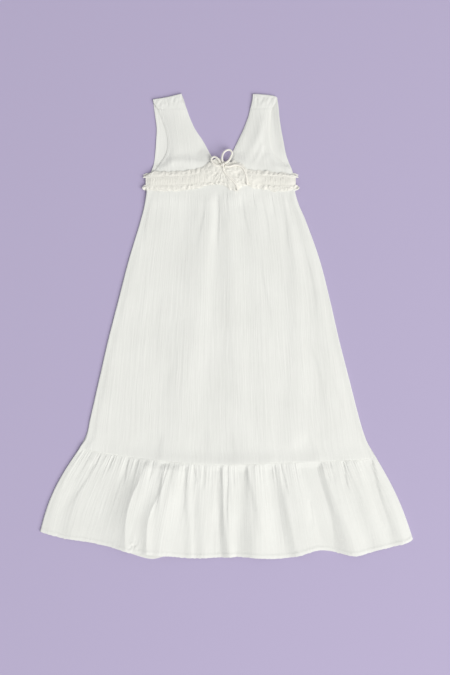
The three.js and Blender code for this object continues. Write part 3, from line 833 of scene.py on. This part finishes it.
def frill(side, reach):
    """A frill whose waves grow from its gathering to its free edge and fold over there."""
    half_wave = (FRILL_ENDS["right"] - FRILL_ENDS["left"]) / FRILL_WAVES / 2

    def surface(u, v):
        share = np.clip(v if side > 0 else 1 - v, 0, 1)
        across = uneven(u)
        phase = 2 * np.pi * FRILL_WAVES * u + (1.4 + 1.4 * share) * noise(u * 15, 0.5, 54 + side)
        end = (2 * across - 1) ** 15
        x = band_x(u, FRILL_ENDS)
        depth = lively(x)
        x = x + 0.4 * half_wave * share * noise(u * 31, 2 * share, 64 + side)
        if side > 0:
            x = x + FRILL_ENDS["flare"] * (1 - share) * end
        else:
            x = x + FRILL_ENDS["curl"] * np.sin(np.pi * share) * end
        ragged = 0.14 * noise(u * 19, 0.5, 58 + side) + 0.14 * depth * noise(u * 47, 0.5, 66 + side)
        tucked = 1 - smooth(share / 0.12)
        short = 0.6 * np.abs(end) if side > 0 else 0
        out = band_half(x, side) + SEAM + share * reach(x) * (1 + ragged - short) - 0.8 * tucked
        y = band_y(x) + side * out
        size = depth * np.clip(0.55 + 0.7 * noise(u * 14, 0.5, 56 + side), 0.15, 1.1)
        ruffle = FRILL_SWELL["high"] * (0.2 - 0.5 * size * np.cos(phase))
        loops = 0.8 * noise(u * 44, 1.6 * share, 60 + side) + 0.4 * noise(u * 95, 2.4 * share, 68 + side)
        fine = 0.14 * noise(u * 190, share * 3, 62 + side)
        open_share = smooth(share / 0.45)
        turn = FRILL_SWELL["turn"] * smooth((share - 0.3) / 0.7) * smooth(reach(x) / 10)
        z = BAND_FLOOR + BAND_EDGE + (ruffle + depth * loops) * open_share + fine - turn
        z = z + 1.3 * bunching(x, y) * (1 - 0.5 * share)
        curls = 0
        if side < 0:
            for at_x, at_y in FRILL_CURLS:
                around = np.hypot(x - at_x, y - at_y)
                ring = CURL["high"] * bump(around - CURL["radius"], CURL["wide"])
                curls = curls + ring - CURL["deep"] * bump(around, CURL["hole"])
        z = bedded(x, y, resting(z, BAND_FLOOR + 0.3), (1 - share) * reach(x))
        z = z + curls - 0.5 * smooth((share - 0.8) / 0.2)
        return x, y, z - 0.15 * tucked - band_end(x, FRILL_ENDS)

    return surface


def frill_back(side, depth):
    """A frill of the back band, pressed flat under the dress."""
    def surface(u, v):
        share = np.clip(v if side > 0 else 1 - v, 0, 1)
        x = band_x(u, FRILL_ENDS) + FRILL_ENDS["flare"] * share * (2 * uneven(u) - 1) ** 9
        reach = (depth + 1.2 * gathers(FRILL_WAVES, u)) * (1 - 0.55 * (2 * u - 1) ** 12)
        y = band_y(x) + side * (BAND["half"] + SEAM + share * reach)
        return x, y, 0.6 * share * gathers(FRILL_WAVES, u) + 0.12 * np.abs(noise(u * 130, share * 2, 63))

    return surface


def casing_back(u, v):
    x = band_x(u, BAND)
    y = band_y(x) + lerp(-BAND["half"], BAND["half"], v)
    pleats = 0.4 * gathers(FRILL_WAVES, u) + 0.15 * np.abs(noise(u * 130, 2 * v, 64))
    return x, y, pleats * np.sin(np.pi * np.clip(v, 0, 1))


def lifted(surface, by):
    """The same surface moved straight up."""
    def point(u, v):
        x, y, z = surface(u, v)
        return x, y, z + by

    return point


# Meshes

def shares(steps):
    return np.linspace(0, 1, steps + 1)


def levels(even, start=(0,), end=(0,), depth=1.0):
    """Shares from 0 to 1: even ones, and closer ones at the given distances from either end of a panel."""
    low = np.array(start) / depth
    high = 1 - np.array(end)[::-1] / depth
    even += -(even + len(low) + len(high) - 2) % 4
    return np.concatenate([low[:-1], np.linspace(low[-1], high[0], even + 1), high[1:]])


def shell(name, outer, inner, u, v, grain, faces_up, coarse):
    """A closed thin wall: the outer surface is seen, and the inner one may have fewer points."""
    points, uvs, faces, ids = [], [], [], []
    count = 0
    for surface, (step_u, step_v), up in ((outer, (1, 1), faces_up), (inner, coarse, not faces_up)):
        grid_u, grid_v = np.meshgrid(u[::step_u], v[::step_v])
        placed = [np.broadcast_to(part, grid_u.shape) for part in surface(grid_u, grid_v)]
        points.append(np.stack(placed, -1).reshape(-1, 3) * MM)
        threads = [np.broadcast_to(part, grid_u.shape) for part in grain(grid_u, grid_v)]
        uvs.append(np.stack(threads, -1).reshape(-1, 2) / 10)
        number = count + np.arange(grid_u.size).reshape(grid_u.shape)
        quads = [number[:-1, :-1], number[:-1, 1:], number[1:, 1:], number[1:, :-1]]
        quads = np.stack(quads, -1).reshape(-1, 4)
        faces += (quads if up else quads[:, ::-1]).tolist()
        ids.append(number)
        count += grid_u.size
    a, b = ids
    borders = [
        (a[0, ::-1], b[0, ::-1], 0),
        (a[-1], b[-1], 0),
        (a[:, 0], b[:, 0], 1),
        (a[::-1, -1], b[::-1, -1], 1),
    ]
    for fine, rough, axis in borders:
        step = coarse[axis]
        for k in range(len(rough) - 1):
            ring = fine[k * step:(k + 1) * step + 1].tolist() + rough[k:k + 2][::-1].tolist()
            faces.append(ring if faces_up else ring[::-1])
    return mesh_piece(name, np.concatenate(points), faces, np.concatenate(uvs))


def new_object(name, data):
    made = bpy.data.objects.new(name, data)
    bpy.context.scene.collection.objects.link(made)
    return made


def mesh_piece(name, points, faces, uvs=None, sharp=60):
    mesh = bpy.data.meshes.new(name)
    mesh.from_pydata(points, [], faces)
    if uvs is not None:
        layer = mesh.uv_layers.new(name="cloth")
        corners = np.empty(len(mesh.loops), np.int32)
        mesh.loops.foreach_get("vertex_index", corners)
        layer.data.foreach_set("uv", uvs[corners].astype(np.float32).ravel())
    mesh.polygons.foreach_set("use_smooth", [True] * len(mesh.polygons))
    mesh.set_sharp_from_angle(angle=math.radians(sharp))
    return new_object(name, mesh)


# Materials

def set_inputs(node, **values):
    """Sets a node's inputs by their names, with _ for a space."""
    for name, value in values.items():
        node.inputs[name.replace("_", " ")].default_value = value


def new_material(name, **values):
    material = bpy.data.materials.new(name)
    material.use_nodes = True
    nodes = material.node_tree.nodes
    shader = nodes["Principled BSDF"]
    set_inputs(shader, **values)
    return material, nodes, material.node_tree.links, shader


def cloth_material(name, colour, shade, weave=0.08, crinkle_high=0.26):
    """Soft matt gauze: a plain weave, small creases along the threads and slow changes of tone."""
    material, nodes, links, shader = new_material(
        name, Roughness=0.93, Specular_IOR_Level=0.2, Sheen_Weight=0.2, Sheen_Roughness=0.6,
    )
    coords = nodes.new("ShaderNodeUVMap")
    coords.uv_map = "cloth"

    def texture(kind, scale, stretch, **values):
        mapping = nodes.new("ShaderNodeMapping")
        set_inputs(mapping, Scale=stretch)
        links.new(coords.outputs["UV"], mapping.inputs["Vector"])
        node = nodes.new(kind)
        set_inputs(node, Scale=scale, **values)
        links.new(mapping.outputs["Vector"], node.inputs["Vector"])
        return node

    def maths(operation, *terms):
        node = nodes.new("ShaderNodeMath")
        node.operation = operation
        for socket, term in zip(node.inputs, terms):
            if isinstance(term, float):
                socket.default_value = term
            else:
                links.new(term, socket)
        return node.outputs["Value"]

    def bumped(height, distance, strength, before=None):
        node = nodes.new("ShaderNodeBump")
        set_inputs(node, Distance=distance * MM, Strength=strength)
        links.new(height, node.inputs["Height"])
        if before is not None:
            links.new(before, node.inputs["Normal"])
        return node.outputs["Normal"]

    threads = []
    for direction in "XY":
        wave = texture("ShaderNodeTexWave", 4.6, (1, 1, 1), Distortion=0.6)
        wave.bands_direction = direction
        threads.append(wave.outputs["Fac"])
    grooves = texture("ShaderNodeTexNoise", 4.0, (1, 0.03, 1), Detail=3.0, Roughness=0.6)
    small = texture("ShaderNodeTexNoise", 9.0, (1, 0.35, 1), Detail=4.0, Roughness=0.65)
    normal = bumped(grooves.outputs["Fac"], crinkle_high, 0.9)
    normal = bumped(small.outputs["Fac"], crinkle_high / 3, 0.6, normal)
    normal = bumped(maths("MULTIPLY", *threads), weave, 0.7, normal)
    links.new(normal, shader.inputs["Normal"])

    tone = texture("ShaderNodeTexNoise", 0.12, (1, 1, 1), Detail=3.0)
    slub = texture("ShaderNodeTexNoise", 5.0, (1, 0.05, 1), Detail=2.0)
    ramp = nodes.new("ShaderNodeValToRGB")
    for element, position, mix in zip(ramp.color_ramp.elements, (0.45, 0.95), (shade, colour)):
        element.position = position
        element.color = (*mix, 1)
    links.new(maths("MULTIPLY_ADD", slub.outputs["Fac"], 0.45, tone.outputs["Fac"]), ramp.inputs["Fac"])
    links.new(ramp.outputs["Color"], shader.inputs["Base Color"])
    return material


def cord_material():
    material, nodes, links, shader = new_material(
        "drawstring", Base_Color=(0.86, 0.84, 0.77, 1), Roughness=0.9, Sheen_Weight=0.2,
    )
    where = nodes.new("ShaderNodeTexCoord")
    twist = nodes.new("ShaderNodeTexWave")
    twist.bands_direction = "DIAGONAL"
    set_inputs(twist, Scale=260, Distortion=2.5)
    links.new(where.outputs["Object"], twist.inputs["Vector"])
    bumps = nodes.new("ShaderNodeBump")
    set_inputs(bumps, Distance=0.25 * MM, Strength=0.6)
    links.new(twist.outputs["Fac"], bumps.inputs["Height"])
    links.new(bumps.outputs["Normal"], shader.inputs["Normal"])
    return material


def floor_material():
    colour = (0.472, 0.42, 0.60, 1)
    return new_material("surface", Base_Color=colour, Roughness=0.9, Specular_IOR_Level=0.1)[0]


MATERIALS = {
    "muslin": cloth_material("muslin", (0.825, 0.835, 0.795), (0.775, 0.785, 0.745)),
    "cream_muslin": cloth_material("cream_muslin", (0.84, 0.83, 0.765), (0.79, 0.785, 0.72)),
    "cord": cord_material(),
}


def place(piece, node, slot):
    """Puts a piece of the dress in its node's stead."""
    piece.data.materials.append(MATERIALS[slot])
    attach(piece, "root")
    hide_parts(node)
    return piece


# Camera, floor and light

def add_camera():
    data = bpy.data.cameras.new("camera")
    data.lens = LENS
    data.sensor_width = SENSOR
    data.clip_end = 20
    camera = new_object("camera", data)
    distance = IMAGE_HIGH * MM_PER_PIXEL * MM * LENS / SENSOR
    camera.location = (VIEW_CENTRE[0] * MM, VIEW_CENTRE[1] * MM, distance)
    bpy.context.scene.camera = camera


def add_light(name, place_at, size, power, colour=(1, 1, 1)):
    data = bpy.data.lights.new(name, "AREA")
    data.size = size
    data.energy = power
    data.color = colour
    light = new_object(name, data)
    light.location = place_at
    light.rotation_euler = (-Vector(place_at)).to_track_quat("-Z", "Y").to_euler()


def add_stage():
    half = 6
    low = -0.1 * MM
    corners = [(-half, -half, low), (half, -half, low), (half, half, low), (-half, half, low)]
    floor = mesh_piece("surface", corners, [(0, 1, 2, 3)])
    floor.data.materials.append(floor_material())
    world = bpy.data.worlds.new("studio")
    world.use_nodes = True
    set_inputs(world.node_tree.nodes["Background"], Color=(0.98, 0.98, 1.0, 1), Strength=0.4)
    bpy.context.scene.world = world
    add_light("key", (4.0, -3.4, 5.0), 6.5, 562, (1.0, 0.985, 0.965))
    add_light("fill", (-2.4, 2.2, 3.6), 4, 18, (0.97, 0.98, 1.0))
    bpy.context.scene.view_settings.view_transform = "Standard"


# The pieces

def cord_curve(name, route):
    points, length = smooth_route(route)
    data = bpy.data.curves.new(name, "CURVE")
    data.dimensions = "3D"
    data.bevel_depth = CORD_RADIUS * MM
    data.bevel_resolution = 4
    data.use_fill_caps = True
    spline = data.splines.new("POLY")
    spline.points.add(len(points) - 1)
    for point, (x, y, z) in zip(spline.points, points):
        point.co = (x * MM, y * MM, (BOW_FLOOR + z) * MM, 1)
    spline.use_smooth = True
    return new_object(name, data), points, length


def tube(path, radius, sides=14):
    """Points and faces of a closed round tube along a path."""
    path = np.array(path, float)
    ways = np.gradient(path, axis=0)
    ways /= np.linalg.norm(ways, axis=1, keepdims=True)
    points = []
    up = np.array([0.0, 0.0, 1.0])
    for here, way in zip(path, ways):
        aside = np.cross(way, up)
        aside /= np.linalg.norm(aside)
        normal = np.cross(aside, way)
        for k in range(sides):
            angle = 2 * math.pi * k / sides
            points.append(here + radius * math.cos(angle) * aside + radius * math.sin(angle) * normal)
    faces = []
    for i in range(len(path) - 1):
        for k in range(sides):
            a = i * sides + k
            b = i * sides + (k + 1) % sides
            faces.append((a, b, b + sides, a + sides))
    last = (len(path) - 1) * sides
    faces.append(tuple(range(sides))[::-1])
    faces.append(tuple(range(last, last + sides)))
    return points, faces


def add_knot():
    """The knot: the cord crosses itself under one turn that is pulled tight round the middle."""
    middle = np.array([KNOT["x"], KNOT["y"], BOW_FLOOR + KNOT["z"]])
    wide = KNOT["wide"] / 2
    high = KNOT["high"] / 2
    points, faces = [], []
    turn = np.linspace(0, 2 * math.pi, 25)
    wrap = [
        (0.25 * wide * math.sin(t) + 0.5, 0.62 * wide * math.cos(t), 0.55 * high * math.sin(t))
        for t in turn
    ]
    share = np.linspace(-1, 1, 15)
    under = [(0.66 * wide * s, 0.3 * wide * math.sin(2.4 * s), 0.2 * high * math.cos(2 * s)) for s in share]
    over = [(0.55 * wide * s, -0.45 * wide * s, 0.42 * high * math.cos(1.5 * s)) for s in share]
    for path, radius in ((wrap, 1.45), (under, 1.7), (over, 1.5)):
        made, ring = tube([middle + np.array(p) for p in path], radius)
        faces += [tuple(i + len(points) for i in face) for face in ring]
        points += made
    return mesh_piece("cloth_bow_knot", [tuple(p * MM) for p in points], faces)


CORD_ENDS = {
    "bow_loop_right": "object",
    "bow_loop_left": "object",
    "bow_end_left": "bare",
    "bow_end_right": "bare",
}


def add_bow():
    for name, far_end in CORD_ENDS.items():
        piece, points, length = cord_curve("cord_" + name, BOW_ROUTES[name])
        place(piece, name, "cord")
    knot = place(add_knot(), "bow_knot", "cord")


# Distances from a panel's lower or upper end where its rows of points lie closer
NEAR_SEAM = (0, 0.45, 0.9, 1.4, 2, 3, 4.5, 6.5, 8.5, 9.6, 10.6, 11.6, 13.5)
NEAR_GATHERS = (0, 0.4, 0.9, 1.5, 2.2, 3.2, 4.5)
NEAR_HEM = (0, 0.4, 1.2, 2.4, 3.6, 4.8, 5.8, 6.8, 7.8, 8.8)


def add_panel(node, slot, surface, u, v, grain, faces_up=True, inner=None):
    """A cloth shell in its node's stead. Its inner side is the outer one moved, unless it has its own."""
    coarse = (1, 1) if inner else (2, 4)
    inner = inner or lifted(surface, -SHELL if faces_up else SHELL)
    return place(shell("cloth_" + node, surface, inner, u, v, grain, faces_up, coarse), node, slot)


def add_skirt():
    v = levels(96, start=NEAR_SEAM, depth=SKIRT_DEPTH)
    front = add_panel("skirt_front", "muslin", skirt_front, shares(680), v, skirt_grain)
    back = add_panel("skirt_back", "muslin", skirt_back, shares(400), levels(80), skirt_grain, False)


def add_flounce():
    v = levels(72, start=NEAR_HEM, end=NEAR_GATHERS, depth=FLOUNCE_DEPTH)
    front = add_panel("flounce_front", "muslin", flounce_front, shares(720), v, flounce_grain)
    v = levels(48, start=NEAR_HEM, depth=FLOUNCE_DEPTH)
    back = add_panel(
        "flounce_back", "muslin", flounce_back, shares(400), v, flounce_grain, False, flounce_back_inside,
    )


def add_bodice():
    begins, turned = STRAP_TURN
    v = np.concatenate([
        np.linspace(0, begins, 61),
        np.linspace(begins, turned, 21)[1:],
        np.linspace(turned, 1, 25)[1:],
    ])
    for side, table, top in (("left", LEFT_STRAP, LEFT_TOP), ("right", RIGHT_STRAP, RIGHT_TOP)):
        grain = strap_grain(table)
        surface = bodice_front(table)
        front = add_panel("bodice_front_" + side, "muslin", surface, shares(240), levels(96), grain)
        outside = bodice_back(table, top, inside=False)
        inside = bodice_back(table, top, inside=True)
        back = add_panel("bodice_back_" + side, "muslin", outside, shares(160), v, grain, False, inside)


def add_band():
    u = shares(600)
    rough = u[::2]
    slot = "cream_muslin"
    front = add_panel("band_casing_front", slot, casing_front, u, levels(24), flounce_grain)
    back = add_panel("band_casing_back", slot, casing_back, rough, levels(12), flounce_grain, False)
    frills = (
        ("top", 1, frill_top_reach, 10, 0.013, 0.0115),
        ("bottom", -1, frill_bottom_reach, 11, 0.0105, 0.0125),
    )
    for name, side, reach, depth, front_cut, back_cut in frills:
        surface = frill(side, reach)
        front = add_panel("frill_%s_front" % name, slot, surface, u, levels(20), flounce_grain)
        surface = frill_back(side, depth)
        back = add_panel("frill_%s_back" % name, slot, surface, rough, levels(12), flounce_grain, False)


add_camera()
add_bow()
add_stage()
add_skirt()
add_flounce()
add_bodice()
add_band()
